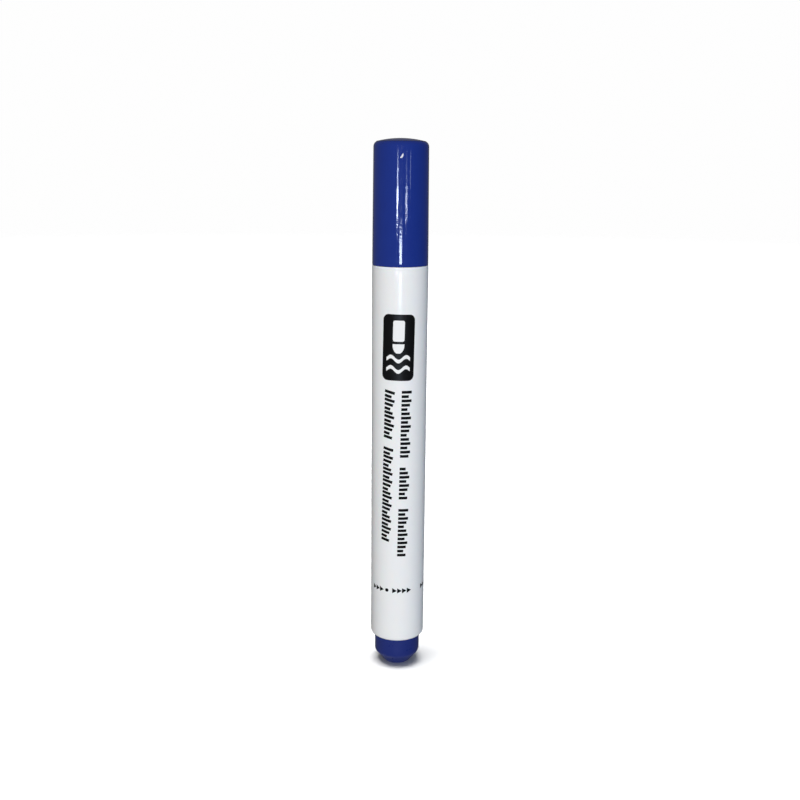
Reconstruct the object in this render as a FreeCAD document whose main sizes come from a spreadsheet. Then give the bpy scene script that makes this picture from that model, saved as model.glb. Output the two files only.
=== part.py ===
"""Refillable bullet-tip whiteboard marker, standing upright on its tail plug.

Frame: millimetres, +Z up along the marker's axis from the tail to the cap.
The origin is the centre of the flat foot under the tail plug.
The tail plug screws into the barrel with a coarse right-hand ridge thread.
The cap pulls straight off the nib holder. All pieces are shown closed.
"""
import FreeCAD, Part
import os

import Sketcher
from FreeCAD import Vector

SIZES = {
    # barrel, a moulded tube
    "barrel_radius": 7.25,
    "barrel_bore_radius": 6.25,
    "barrel_bottom": 8.2,
    "barrel_top": 109.3,
    "tail_round": 0.9,
    "front_edge_round": 0.12,
    # recess at the tail for the plug's head and seal, then the threaded throat
    "recess_radius": 6.28,
    "recess_top": 9.7,
    "throat_radius": 5.35,
    "throat_top": 15.9,
    # ribs inside the barrel that centre the ink reservoir
    "centring_radius": 5.66,
    "centring_half_width": 0.3,
    "centring_count": 6,
    "centring_top": 97.7,
    # ridge thread shared by plug and barrel
    "thread_lead": 3.0,
    "ridge_height": 0.5,
    "ridge_root_half": 0.55,
    "ridge_crest_half": 0.3,
    "ridge_embed": 0.1,
    "barrel_ridge_start": 10.45,
    "barrel_ridge_turns": 1.35,
    "plug_ridge_start": 11.33,
    "plug_ridge_turns": 1.0,
    # tail plug
    "head_radius": 6.13,
    "head_top": 8.6,
    "foot_radius": 3.6,
    "foot_taper": 3.0,
    "foot_edge_round": 0.35,
    "taper_round": 2.0,
    "spigot_radius": 4.7,
    "spigot_top": 15.0,
    "spigot_chamfer": 0.3,
    "plug_hollow_radius": 3.6,
    "plug_floor": 2.0,
    "plug_hollow_round": 1.2,
    # seal under the plug's head
    "seal_ring_radius": 5.3,
    "seal_cord_radius": 0.5,
    "seal_height": 9.15,
    # nib holder, the front section between barrel and cap
    "flange_radius": 7.23,
    "flange_top": 109.8,
    "flange_round": 0.12,
    "skirt_radius": 6.22,
    "skirt_bottom": 103.3,
    "skirt_chamfer": 0.3,
    "holder_hollow_radius": 5.1,
    "holder_hollow_top": 118.6,
    "neck_radius": 6.05,
    "neck_top": 119.8,
    "grip_band_radius": 6.2,
    "grip_band_bottom": 114.9,
    "grip_band_height": 1.2,
    "grip_band_lead": 0.4,
    "nose_radius": 4.2,
    "nose_bottom": 123.3,
    "nose_top": 128.8,
    "nose_round": 0.5,
    "nib_bore_radius": 2.48,
    "vent_depth": 0.4,
    "vent_half_width": 0.35,
    "vent_overlap": 0.3,
    "vent_count": 4,
    # felt nib
    "nib_radius": 2.45,
    "nib_bottom": 92.7,
    "nib_shoulder": 129.9,
    "nib_tip": 133.0,
    "nib_tip_flat": 1.0,
    "nib_tip_round": 0.9,
    "nib_shoulder_round": 2.6,
    "nib_end_chamfer": 0.4,
    # ink reservoir: fibre rod in a film sleeve
    "fibre_radius": 5.4,
    "fibre_bottom": 16.1,
    "fibre_top": 102.7,
    "nib_pocket_radius": 2.48,
    "nib_pocket_bottom": 92.5,
    "film_bore_radius": 5.43,
    "film_radius": 5.6,
    # cap
    "cap_bottom": 109.86,
    "cap_mouth_radius": 7.21,
    "cap_crown_radius": 6.97,
    "cap_shoulder": 140.3,
    "cap_top": 141.3,
    "cap_dome_radius": 24.8,
    "cap_corner_round": 1.5,
    "cap_mouth_round": 0.12,
    "cap_bore_mouth_radius": 6.28,
    "cap_bore_end_radius": 6.02,
    "cap_bore_end": 139.6,
    "cap_bore_round": 0.5,
    # inner cap, which closes round the nose
    "cup_disc_radius": 5.95,
    "cup_disc_top": 139.57,
    "cup_disc_bottom": 138.75,
    "cup_disc_lead": 0.5,
    "cup_radius": 5.2,
    "cup_bore_radius": 4.5,
    "cup_bottom": 124.0,
    "cup_lip_radius": 4.26,
    "cup_lip_bottom": 124.6,
    "cup_lip_top": 125.6,
    "cup_lip_lead": 0.3,
}

ORIGIN_POINT = (-1, 1)
VERTICAL_AXIS = -2
HORIZONTAL_AXIS = -1
START, END = 1, 2

doc = FreeCAD.newDocument("whiteboard_marker")
sheet = doc.addObject("Spreadsheet::Sheet", "dims")
for row, (alias, size) in enumerate(SIZES.items(), start=1):
    sheet.set(f"A{row}", alias)
    sheet.set(f"B{row}", str(size))
    sheet.setAlias(f"B{row}", alias)
doc.recompute()


def number(formula):
    """Value of a sum of named sizes, such as 'spigot_radius + ridge_height'."""
    total = 0.0
    sign = 1.0
    for term in formula.split():
        if term in ("+", "-"):
            sign = 1.0 if term == "+" else -1.0
        else:
            total += sign * (SIZES[term] if term in SIZES else float(term))
    return total


def linked(formula):
    """The same sum as an expression that reads the spreadsheet."""
    terms = [f"dims.{term}" if term in SIZES else term for term in formula.split()]
    return " ".join(terms)


def new_body(label):
    """One PartDesign body for one physical piece."""
    body = doc.addObject("PartDesign::Body", label)
    body.Label = label
    body.Placement = FreeCAD.Placement()
    return body


def origin_plane(body, role):
    """The body's own origin plane with this role."""
    return next(item for item in body.Origin.OriginFeatures if item.Role == role)


def bind_datum(sketch, kind, point, formula):
    """Hold one coordinate of a sketch point at a named size."""
    vertex, end = point
    if number(formula) == 0:
        axis = VERTICAL_AXIS if kind == "DistanceX" else HORIZONTAL_AXIS
        sketch.addConstraint(Sketcher.Constraint("PointOnObject", vertex, end, axis))
        return
    value = number(formula)
    index = sketch.addConstraint(Sketcher.Constraint(kind, *ORIGIN_POINT, vertex, end, value))
    sketch.setExpression(f"Constraints[{index}]", linked(formula))


def outline(body, name, corners, dome=None):
    """Closed sketch through corners, each a pair of formulas.

    dome names the one side that is an arc: (number of its first corner, radius formula). The arc
    bulges outwards from corners that run clockwise, with the next corner on the axis.
    """
    sketch = body.newObject("Sketcher::SketchObject", name)
    sketch.AttachmentSupport = [(origin_plane(body, "XZ_Plane"), "")]
    sketch.MapMode = "FlatFace"
    points = [Vector(number(across), number(up), 0) for across, up in corners]
    joins = []
    for first, start in enumerate(points):
        end = points[(first + 1) % len(points)]
        if dome and dome[0] == first:
            radius = number(dome[1])
            circle = Part.Circle(Vector(0, end.y - radius, 0), Vector(0, 0, 1), radius)
            arc = Part.ArcOfCircle(circle, circle.parameter(start), circle.parameter(end))
            sketch.addGeometry(arc, False)
            centre = (first, 3)
            sketch.addConstraint(Sketcher.Constraint("PointOnObject", *centre, VERTICAL_AXIS))
        else:
            sketch.addGeometry(Part.LineSegment(start, end), False)
        joins.append((first, START))
    for first, join in enumerate(joins):
        following = joins[(first + 1) % len(joins)]
        sketch.addConstraint(Sketcher.Constraint("Coincident", first, END, *following))
    for join, (across, up) in zip(joins, corners):
        bind_datum(sketch, "DistanceX", join, across)
        bind_datum(sketch, "DistanceY", join, up)
    return sketch


def revolve(body, name, corners, dome=None):
    """Solid of revolution about the marker's axis."""
    sketch = outline(body, name + "_outline", corners, dome=dome)
    feature = body.newObject("PartDesign::Revolution", name)
    feature.Profile = sketch
    feature.ReferenceAxis = (sketch, ["V_Axis"])
    feature.Angle = 360
    doc.recompute()
    return feature


def circles_at(feature, *rings):
    """Names of the circular edges at these (radius formula, height formula) places."""
    names = []
    for radius, height in rings:
        for count, edge in enumerate(feature.Shape.Edges, start=1):
            if edge.Degenerated or not isinstance(edge.Curve, Part.Circle):
                continue
            curve = edge.Curve
            if abs(curve.Radius - number(radius)) < 1e-4 and abs(curve.Center.z - number(height)) < 1e-4:
                names.append(f"Edge{count}")
    if len(names) < len(rings):
        raise ValueError(f"{feature.Name}: an edge to round is missing")
    return names


def soften(body, kind, name, size, *rings):
    """Fillet or chamfer of a named size on circular edges of the body's last feature."""
    base = body.Tip
    feature = body.newObject("PartDesign::" + kind, name)
    feature.Base = (base, circles_at(base, *rings))
    size_property = "Radius" if kind == "Fillet" else "Size"
    setattr(feature, size_property, number(size))
    feature.setExpression(size_property, linked(size))
    doc.recompute()
    return feature


def ridge(body, name, wall, crest, start, turns):
    """One ridge of the coarse thread, wound up the wall from the +X side."""
    embed = "- ridge_embed" if number(crest) > number(wall) else "+ ridge_embed"
    corners = [
        (f"{wall} {embed}", f"{start} - ridge_root_half"),
        (crest, f"{start} - ridge_crest_half"),
        (crest, f"{start} + ridge_crest_half"),
        (f"{wall} {embed}", f"{start} + ridge_root_half"),
    ]
    sketch = outline(body, name + "_section", corners)
    doc.recompute()
    before = body.Shape.Volume
    feature = body.newObject("PartDesign::AdditiveHelix", name)
    feature.Profile = sketch
    feature.ReferenceAxis = (sketch, ["V_Axis"])
    feature.Mode = "pitch-turns-angle"
    feature.setExpression("Pitch", linked("thread_lead"))
    feature.setExpression("Turns", linked(turns))
    feature.Angle = 0
    feature.LeftHanded = False
    feature.Reversed = False
    doc.recompute()
    if body.Shape.Volume <= before:
        raise ValueError(f"{name}: the ridge added nothing")
    return feature


def around(body, feature, count):
    """Repeat a feature evenly about the marker's axis."""
    pattern = body.newObject("PartDesign::PolarPattern", feature.Name + "_ring")
    pattern.Originals = [feature]
    pattern.Axis = (origin_plane(body, "Z_Axis"), [""])
    pattern.Angle = 360
    pattern.Occurrences = int(number(count))
    pattern.setExpression("Occurrences", linked(count))
    body.Tip = pattern
    doc.recompute()
    return pattern


def bar_section(body, name, inner, outer, half_width, bottom):
    """Rectangle on a plane across the axis, from radius inner to outer, as wide as twice half_width."""
    sketch = body.newObject("Sketcher::SketchObject", name)
    sketch.AttachmentSupport = [(origin_plane(body, "XY_Plane"), "")]
    sketch.MapMode = "FlatFace"
    sketch.AttachmentOffset = FreeCAD.Placement(Vector(0, 0, number(bottom)), FreeCAD.Rotation())
    sketch.setExpression("AttachmentOffset.Base.z", linked(bottom))
    left, right, half = number(inner), number(outer), number(half_width)
    corners = [
        Vector(left, -half, 0),
        Vector(right, -half, 0),
        Vector(right, half, 0),
        Vector(left, half, 0),
    ]
    for first, start in enumerate(corners):
        sketch.addGeometry(Part.LineSegment(start, corners[(first + 1) % 4]), False)
    for first in range(4):
        sketch.addConstraint(Sketcher.Constraint("Coincident", first, END, (first + 1) % 4, START))
    sketch.addConstraint([Sketcher.Constraint("Horizontal", 0), Sketcher.Constraint("Horizontal", 2)])
    sketch.addConstraint(Sketcher.Constraint("Vertical", 1))
    sketch.addConstraint(Sketcher.Constraint("Symmetric", 0, START, 2, END, HORIZONTAL_AXIS))
    bind_datum(sketch, "DistanceY", (2, END), half_width)
    bind_datum(sketch, "DistanceX", (0, START), inner)
    bind_datum(sketch, "DistanceX", (0, END), outer)
    return sketch


def make_cap_shell():
    """Outer cap: drafted wall, crowned top, open mouth."""
    body = new_body("cap_shell")
    revolve(
        body,
        "cap_wall",
        [
            ("cap_bore_mouth_radius", "cap_bottom"),
            ("cap_mouth_radius", "cap_bottom"),
            ("cap_crown_radius", "cap_shoulder"),
            ("0", "cap_top"),
            ("0", "cap_bore_end"),
            ("cap_bore_end_radius", "cap_bore_end"),
        ],
        dome=(2, "cap_dome_radius"),
    )
    soften(body, "Fillet", "cap_corner", "cap_corner_round", ("cap_crown_radius", "cap_shoulder"))
    soften(body, "Fillet", "cap_mouth_edge", "cap_mouth_round", ("cap_mouth_radius", "cap_bottom"))
    soften(body, "Fillet", "cap_bore_corner", "cap_bore_round", ("cap_bore_end_radius", "cap_bore_end"))
    return body


def make_inner_cap():
    """Sealing cup pressed into the cap; its lip closes round the nib holder's nose."""
    body = new_body("inner_cap")
    revolve(
        body,
        "cup_wall",
        [
            ("cup_bore_radius", "cup_bottom"),
            ("cup_radius", "cup_bottom"),
            ("cup_radius", "cup_disc_bottom"),
            ("cup_disc_radius", "cup_disc_bottom"),
            ("cup_disc_radius", "cup_disc_top - cup_disc_lead"),
            ("cup_disc_radius - cup_disc_lead", "cup_disc_top"),
            ("0", "cup_disc_top"),
            ("0", "cup_disc_bottom"),
            ("cup_bore_radius", "cup_disc_bottom"),
            ("cup_bore_radius", "cup_lip_top + cup_lip_lead"),
            ("cup_lip_radius", "cup_lip_top"),
            ("cup_lip_radius", "cup_lip_bottom"),
        ],
    )
    return body


def make_barrel():
    """White tube with a rounded tail, a recess and threaded throat for the plug, and inner ribs."""
    body = new_body("barrel")
    revolve(
        body,
        "barrel_tube",
        [
            ("recess_radius", "barrel_bottom"),
            ("barrel_radius", "barrel_bottom"),
            ("barrel_radius", "barrel_top"),
            ("barrel_bore_radius", "barrel_top"),
            ("barrel_bore_radius", "throat_top"),
            ("throat_radius", "throat_top"),
            ("throat_radius", "recess_top"),
            ("recess_radius", "recess_top"),
        ],
    )
    soften(body, "Fillet", "tail_edge", "tail_round", ("barrel_radius", "barrel_bottom"))
    soften(body, "Fillet", "front_edge", "front_edge_round", ("barrel_radius", "barrel_top"))
    rib_root = "barrel_bore_radius + ridge_embed"
    rib_half = "centring_half_width"
    section = bar_section(body, "centring_section", "centring_radius", rib_root, rib_half, "throat_top")
    rib = body.newObject("PartDesign::Pad", "centring_rib")
    rib.Profile = section
    rib.setExpression("Length", linked("centring_top - throat_top"))
    doc.recompute()
    around(body, rib, "centring_count")
    crest = "throat_radius - ridge_height"
    ridge(body, "barrel_ridge", "throat_radius", crest, "barrel_ridge_start", "barrel_ridge_turns")
    return body


def make_nib_holder():
    """Front section: skirt in the barrel, flush flange, neck for the cap, cone and nose for the nib."""
    body = new_body("nib_holder")
    band_top = "grip_band_bottom + grip_band_height"
    revolve(
        body,
        "holder_wall",
        [
            ("holder_hollow_radius", "skirt_bottom"),
            ("skirt_radius", "skirt_bottom"),
            ("skirt_radius", "barrel_top"),
            ("flange_radius", "barrel_top"),
            ("flange_radius", "flange_top"),
            ("neck_radius", "flange_top"),
            ("neck_radius", "grip_band_bottom"),
            ("grip_band_radius", "grip_band_bottom + grip_band_lead"),
            ("grip_band_radius", f"{band_top} - grip_band_lead"),
            ("neck_radius", band_top),
            ("neck_radius", "neck_top"),
            ("nose_radius", "nose_bottom"),
            ("nose_radius", "nose_top"),
            ("nib_bore_radius", "nose_top"),
            ("nib_bore_radius", "holder_hollow_top"),
            ("holder_hollow_radius", "holder_hollow_top"),
        ],
    )
    soften(body, "Fillet", "nose_edge", "nose_round", ("nose_radius", "nose_top"))
    soften(body, "Fillet", "flange_edge", "flange_round", ("flange_radius", "flange_top"))
    soften(body, "Chamfer", "skirt_lead", "skirt_chamfer", ("skirt_radius", "skirt_bottom"))
    groove_start = "nib_bore_radius - vent_overlap"
    groove_edge = "nib_bore_radius + vent_depth"
    section = bar_section(body, "vent_section", groove_start, groove_edge, "vent_half_width", "nose_top")
    before = body.Shape.Volume
    vent = body.newObject("PartDesign::Pocket", "vent_groove")
    vent.Profile = section
    vent.setExpression("Length", linked("nose_top - holder_hollow_top"))
    doc.recompute()
    if body.Shape.Volume >= before:
        raise ValueError("the vent groove cut nothing")
    around(body, vent, "vent_count")
    return body


def make_nib():
    """Felt nib with a rounded bullet tip; its shank reaches back into the reservoir."""
    body = new_body("nib")
    revolve(
        body,
        "nib_rod",
        [
            ("0", "nib_bottom"),
            ("nib_radius", "nib_bottom"),
            ("nib_radius", "nib_shoulder"),
            ("nib_tip_flat", "nib_tip"),
            ("0", "nib_tip"),
        ],
    )
    soften(body, "Fillet", "tip_round", "nib_tip_round", ("nib_tip_flat", "nib_tip"))
    soften(body, "Fillet", "shoulder_round", "nib_shoulder_round", ("nib_radius", "nib_shoulder"))
    soften(body, "Chamfer", "shank_end", "nib_end_chamfer", ("nib_radius", "nib_bottom"))
    return body


def make_reservoir_core():
    """Fibre rod that holds the ink, with a pocket for the nib's shank."""
    body = new_body("reservoir_core")
    revolve(
        body,
        "fibre_rod",
        [
            ("0", "fibre_bottom"),
            ("fibre_radius", "fibre_bottom"),
            ("fibre_radius", "fibre_top"),
            ("nib_pocket_radius", "fibre_top"),
            ("nib_pocket_radius", "nib_pocket_bottom"),
            ("0", "nib_pocket_bottom"),
        ],
    )
    return body


def make_reservoir_wrap():
    """Film sleeve round the fibre rod."""
    body = new_body("reservoir_wrap")
    revolve(
        body,
        "film_sleeve",
        [
            ("film_bore_radius", "fibre_bottom"),
            ("film_radius", "fibre_bottom"),
            ("film_radius", "fibre_top"),
            ("film_bore_radius", "fibre_top"),
        ],
    )
    return body


def make_tail_plug():
    """Hollow plug with a tapered foot and a ridge-threaded spigot."""
    body = new_body("tail_plug")
    revolve(
        body,
        "plug_wall",
        [
            ("0", "0"),
            ("foot_radius", "0"),
            ("head_radius", "foot_taper"),
            ("head_radius", "head_top"),
            ("spigot_radius", "head_top"),
            ("spigot_radius", "spigot_top"),
            ("plug_hollow_radius", "spigot_top"),
            ("plug_hollow_radius", "plug_floor"),
            ("0", "plug_floor"),
        ],
    )
    soften(body, "Fillet", "taper_edge", "taper_round", ("head_radius", "foot_taper"))
    soften(body, "Fillet", "foot_edge", "foot_edge_round", ("foot_radius", "0"))
    soften(body, "Fillet", "hollow_floor", "plug_hollow_round", ("plug_hollow_radius", "plug_floor"))
    soften(body, "Chamfer", "spigot_lead", "spigot_chamfer", ("spigot_radius", "spigot_top"))
    crest = "spigot_radius + ridge_height"
    ridge(body, "plug_ridge", "spigot_radius", crest, "plug_ridge_start", "plug_ridge_turns")
    return body


def make_plug_seal():
    """Rubber ring between the plug's head and the floor of the barrel's recess."""
    ring = doc.addObject("Part::Torus", "plug_seal")
    ring.Label = "plug_seal"
    ring.setExpression("Radius1", linked("seal_ring_radius"))
    ring.setExpression("Radius2", linked("seal_cord_radius"))
    ring.Placement = FreeCAD.Placement(Vector(0, 0, number("seal_height")), FreeCAD.Rotation())
    ring.setExpression("Placement.Base.z", linked("seal_height"))
    doc.recompute()
    return ring


def check_document():
    """Stop if any object of the document failed to build."""
    for item in doc.Objects:
        if "Invalid" in item.State or "Error" in item.State:
            raise RuntimeError(f"{item.Name} failed: {item.State}")


def write_pieces(pieces):
    """Write each valid piece to its own file, named by its label."""
    os.makedirs("parts", exist_ok=True)
    for piece in pieces:
        shape = piece.Shape
        if shape.isNull() or not shape.isValid() or len(shape.Solids) != 1:
            raise RuntimeError(f"{piece.Label} is not one valid solid")
        print(f"{piece.Label}: {shape.Volume:.1f} mm3")
        shape.exportStep(f"parts/{piece.Label}.step")


all_pieces = [
    make_cap_shell(),
    make_inner_cap(),
    make_barrel(),
    make_nib_holder(),
    make_nib(),
    make_reservoir_core(),
    make_reservoir_wrap(),
    make_tail_plug(),
    make_plug_seal(),
]
doc.recompute()
check_document()
write_pieces(all_pieces)
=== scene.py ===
"""Looks of a refillable bullet-tip whiteboard marker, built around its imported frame.

Each sub-assembly is a class: the cap, the barrel with its print, the nib holder and nib, the tail
plug with its seal, and the ink reservoir. Finishes are dataclasses that make procedural materials.
All lengths are metres, +Z up along the marker, which stands on its tail plug at the origin.
"""

import logging
import math
from dataclasses import dataclass, field
from enum import Enum
from typing import Callable, Sequence

import bmesh
import bpy
from bpy.types import Material, Node, NodeSocket, NodeTree, Object
from mathutils import Matrix, Vector


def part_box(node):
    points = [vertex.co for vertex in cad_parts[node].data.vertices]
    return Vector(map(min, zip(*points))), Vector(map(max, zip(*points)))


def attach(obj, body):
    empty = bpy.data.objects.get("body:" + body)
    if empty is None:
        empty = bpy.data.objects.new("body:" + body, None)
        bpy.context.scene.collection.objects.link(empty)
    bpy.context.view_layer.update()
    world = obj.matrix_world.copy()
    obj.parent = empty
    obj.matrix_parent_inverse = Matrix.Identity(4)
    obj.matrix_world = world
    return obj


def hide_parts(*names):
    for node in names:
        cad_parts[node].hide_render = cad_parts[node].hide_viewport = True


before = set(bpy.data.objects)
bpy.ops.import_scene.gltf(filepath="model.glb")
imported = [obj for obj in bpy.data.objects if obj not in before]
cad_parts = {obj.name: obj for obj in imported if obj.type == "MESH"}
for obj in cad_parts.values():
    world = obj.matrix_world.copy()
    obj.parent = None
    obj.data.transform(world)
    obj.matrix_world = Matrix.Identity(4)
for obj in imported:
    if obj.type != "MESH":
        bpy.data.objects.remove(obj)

MM = 0.001
FULL_TURN = 2 * math.pi
ROUND_STEPS = 160  # facets round each turned piece
RIDGE_STEPS = 96  # facets in one turn of a thread ridge
SMOOTH_BELOW = math.radians(32)  # faces that meet at less than this are shaded smooth
MERGE_DISTANCE = 1e-7
NEAR = 2e-6  # how close a vertex lies to a place that it is picked by
BUMP_DEPTH = 0.1 * MM  # relief of a full-strength bump

logging.basicConfig(level=logging.INFO, format="%(message)s")
log = logging.getLogger("marker")

Profile = list[tuple[float, float]]
Colour = tuple[float, float, float]


class Body(str, Enum):
    """Rigid bodies of the marker."""

    PLUG = "plug"
    SEAL = "seal"
    BARREL = "barrel"
    CAP = "cap"


class Slot(str, Enum):
    """Material slots of the marker's record."""

    CAP = "blue_gloss"
    CUP = "natural_plastic"
    BARREL = "white_gloss"
    HOLDER = "white_holder"
    NIB = "inked_felt"
    FIBRE = "ink_fibre"
    FILM = "film"
    PLUG = "blue_satin"
    SEAL = "seal_rubber"


# ---------------------------------------------------------------- shader groups


def new_group(name: str, inputs: dict[str, float], outputs: dict[str, str]) -> NodeTree:
    """Start a shader node group.

    Args:
        name: the group's name.
        inputs: each input's name and default number.
        outputs: each output's name and socket type.

    Returns:
        The group, with its two end nodes made.
    """
    group = bpy.data.node_groups.new(name, "ShaderNodeTree")
    for label, value in inputs.items():
        socket = group.interface.new_socket(label, in_out="INPUT", socket_type="NodeSocketFloat")
        socket.default_value = value
    for label, kind in outputs.items():
        group.interface.new_socket(label, in_out="OUTPUT", socket_type=kind)
    group.nodes.new("NodeGroupInput")
    group.nodes.new("NodeGroupOutput")
    return group


def end_nodes(group: NodeTree) -> tuple[Node, Node]:
    """The input and output nodes of a group."""
    return group.nodes["Group Input"], group.nodes["Group Output"]


def add_noise(tree: NodeTree, scale: float, detail: float) -> Node:
    """A noise texture that reads Object coordinates.

    Args:
        tree: the node tree that it is added to.
        scale: noise cells per metre.
        detail: octaves of the noise.

    Returns:
        The noise node.
    """
    place = tree.nodes.new("ShaderNodeTexCoord")
    noise = tree.nodes.new("ShaderNodeTexNoise")
    noise.inputs["Scale"].default_value = scale
    noise.inputs["Detail"].default_value = detail
    tree.links.new(place.outputs["Object"], noise.inputs["Vector"])
    return noise


def add_math(
    tree: NodeTree, operation: str, first: NodeSocket | float, second: NodeSocket | float
) -> NodeSocket:
    """A math node on two sockets or numbers.

    Args:
        tree: the node tree that it is added to.
        operation: the node's operation, such as MULTIPLY.
        first: a socket or a number.
        second: a socket or a number.

    Returns:
        The node's output socket.
    """
    node = tree.nodes.new("ShaderNodeMath")
    node.operation = operation
    for socket, value in zip(node.inputs, (first, second)):
        if isinstance(value, NodeSocket):
            tree.links.new(value, socket)
        else:
            socket.default_value = value
    return node.outputs[0]


def moulded_skin_group() -> NodeTree:
    """Skin of a moulded part: slow waves, fine orange peel and a little uneven gloss.

    Returns:
        The group.
    """
    group = new_group(
        "moulded_skin",
        {"Wave Depth": 0.2, "Peel Depth": 0.1, "Gloss Low": 0.1, "Gloss High": 0.2},
        {"Normal": "NodeSocketVector", "Roughness": "NodeSocketFloat", "Mottle": "NodeSocketFloat"},
    )
    start, end = end_nodes(group)
    wave = add_noise(group, 190.0, 1.0)
    peel = add_noise(group, 1500.0, 2.0)
    smudge = add_noise(group, 330.0, 4.0)
    wave_height = add_math(group, "MULTIPLY", wave.outputs["Fac"], start.outputs["Wave Depth"])
    peel_height = add_math(group, "MULTIPLY", peel.outputs["Fac"], start.outputs["Peel Depth"])
    bump = group.nodes.new("ShaderNodeBump")
    bump.inputs["Distance"].default_value = BUMP_DEPTH
    group.links.new(add_math(group, "ADD", wave_height, peel_height), bump.inputs["Height"])
    gloss = group.nodes.new("ShaderNodeMapRange")
    gloss.inputs["From Min"].default_value = 0.35
    gloss.inputs["From Max"].default_value = 0.65
    group.links.new(smudge.outputs["Fac"], gloss.inputs["Value"])
    group.links.new(start.outputs["Gloss Low"], gloss.inputs["To Min"])
    group.links.new(start.outputs["Gloss High"], gloss.inputs["To Max"])
    group.links.new(bump.outputs["Normal"], end.inputs["Normal"])
    group.links.new(gloss.outputs["Result"], end.inputs["Roughness"])
    group.links.new(smudge.outputs["Fac"], end.inputs["Mottle"])
    return group


def edge_wear_group() -> NodeTree:
    """Mask of the rubbed outer edges of a part, from the angle between neighbouring faces.

    Returns:
        The group.
    """
    group = new_group("edge_wear", {"Start": 0.52, "Finish": 0.6}, {"Mask": "NodeSocketFloat"})
    start, end = end_nodes(group)
    geometry = group.nodes.new("ShaderNodeNewGeometry")
    grit = add_noise(group, 2600.0, 3.0)
    broken = add_math(group, "MULTIPLY", grit.outputs["Fac"], 0.04)
    worn = group.nodes.new("ShaderNodeMapRange")
    edge = add_math(group, "ADD", geometry.outputs["Pointiness"], broken)
    group.links.new(edge, worn.inputs["Value"])
    group.links.new(start.outputs["Start"], worn.inputs["From Min"])
    group.links.new(start.outputs["Finish"], worn.inputs["From Max"])
    group.links.new(worn.outputs["Result"], end.inputs["Mask"])
    return group


def fibre_grain_group() -> NodeTree:
    """Bonded fibres that run along the marker: streaky tone and a fuzzy relief.

    Returns:
        The group.
    """
    group = new_group(
        "fibre_grain",
        {"Relief": 0.6, "Across": 6000.0, "Along": 700.0},
        {"Tone": "NodeSocketFloat", "Normal": "NodeSocketVector"},
    )
    start, end = end_nodes(group)
    place = group.nodes.new("ShaderNodeTexCoord")
    stretch = group.nodes.new("ShaderNodeCombineXYZ")
    group.links.new(start.outputs["Across"], stretch.inputs["X"])
    group.links.new(start.outputs["Across"], stretch.inputs["Y"])
    group.links.new(start.outputs["Along"], stretch.inputs["Z"])
    scaled = group.nodes.new("ShaderNodeVectorMath")
    scaled.operation = "MULTIPLY"
    group.links.new(place.outputs["Object"], scaled.inputs[0])
    group.links.new(stretch.outputs["Vector"], scaled.inputs[1])
    fibres = group.nodes.new("ShaderNodeTexNoise")
    fibres.inputs["Scale"].default_value = 1.0
    fibres.inputs["Detail"].default_value = 3.0
    group.links.new(scaled.outputs["Vector"], fibres.inputs["Vector"])
    bump = group.nodes.new("ShaderNodeBump")
    bump.inputs["Distance"].default_value = BUMP_DEPTH
    height = add_math(group, "MULTIPLY", fibres.outputs["Fac"], start.outputs["Relief"])
    group.links.new(height, bump.inputs["Height"])
    group.links.new(fibres.outputs["Fac"], end.inputs["Tone"])
    group.links.new(bump.outputs["Normal"], end.inputs["Normal"])
    return group


@dataclass
class ShaderGroups:
    """The effects that more than one finish uses, each built once."""

    skin: NodeTree = field(default_factory=moulded_skin_group)
    wear: NodeTree = field(default_factory=edge_wear_group)
    fibre: NodeTree = field(default_factory=fibre_grain_group)


# ---------------------------------------------------------------- finishes


def start_material(name: str) -> tuple[Material, Node]:
    """Start a node material.

    Args:
        name: the material's name.

    Returns:
        The material and its Principled shader.
    """
    material = bpy.data.materials.new(name)
    material.use_nodes = True
    return material, material.node_tree.nodes["Principled BSDF"]


def place_group(tree: NodeTree, group: NodeTree, values: dict[str, float]) -> Node:
    """Put a shader group in a material with its own values.

    Args:
        tree: the material's node tree.
        group: the shader group.
        values: the group's inputs that differ from their defaults.

    Returns:
        The group's node.
    """
    node = tree.nodes.new("ShaderNodeGroup")
    node.node_tree = group
    for label, value in values.items():
        node.inputs[label].default_value = value
    return node


def mix_colours(
    tree: NodeTree, factor: NodeSocket, first: NodeSocket | Colour, second: NodeSocket | Colour
) -> NodeSocket:
    """Mix two colours by a socket.

    Args:
        tree: the material's node tree.
        factor: the socket that says how much of the second colour shows.
        first: the first colour, as numbers or a socket.
        second: the second colour, as numbers or a socket.

    Returns:
        The mixed colour's socket.
    """
    node = tree.nodes.new("ShaderNodeMix")
    node.data_type = "RGBA"
    tree.links.new(factor, node.inputs["Factor"])
    for socket, colour in ((node.inputs[6], first), (node.inputs[7], second)):
        if isinstance(colour, NodeSocket):
            tree.links.new(colour, socket)
        else:
            socket.default_value = (*colour, 1.0)
    return node.outputs[2]


@dataclass(frozen=True)
class Skin:
    """Relief and gloss of a surface: depth of its waves and peel, and its roughness range."""

    waves: float
    peel: float
    gloss: tuple[float, float]

    def place(self, tree: NodeTree, shader: Node, groups: ShaderGroups) -> Node:
        """Put the skin group in a material and join its relief to the shader.

        Args:
            tree: the material's node tree.
            shader: the material's Principled shader.
            groups: the shared shader groups.

        Returns:
            The group's node.
        """
        low, high = self.gloss
        values = {
            "Wave Depth": self.waves, "Peel Depth": self.peel, "Gloss Low": low, "Gloss High": high
        }
        node = place_group(tree, groups.skin, values)
        tree.links.new(node.outputs["Normal"], shader.inputs["Normal"])
        tree.links.new(node.outputs["Roughness"], shader.inputs["Roughness"])
        return node


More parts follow.
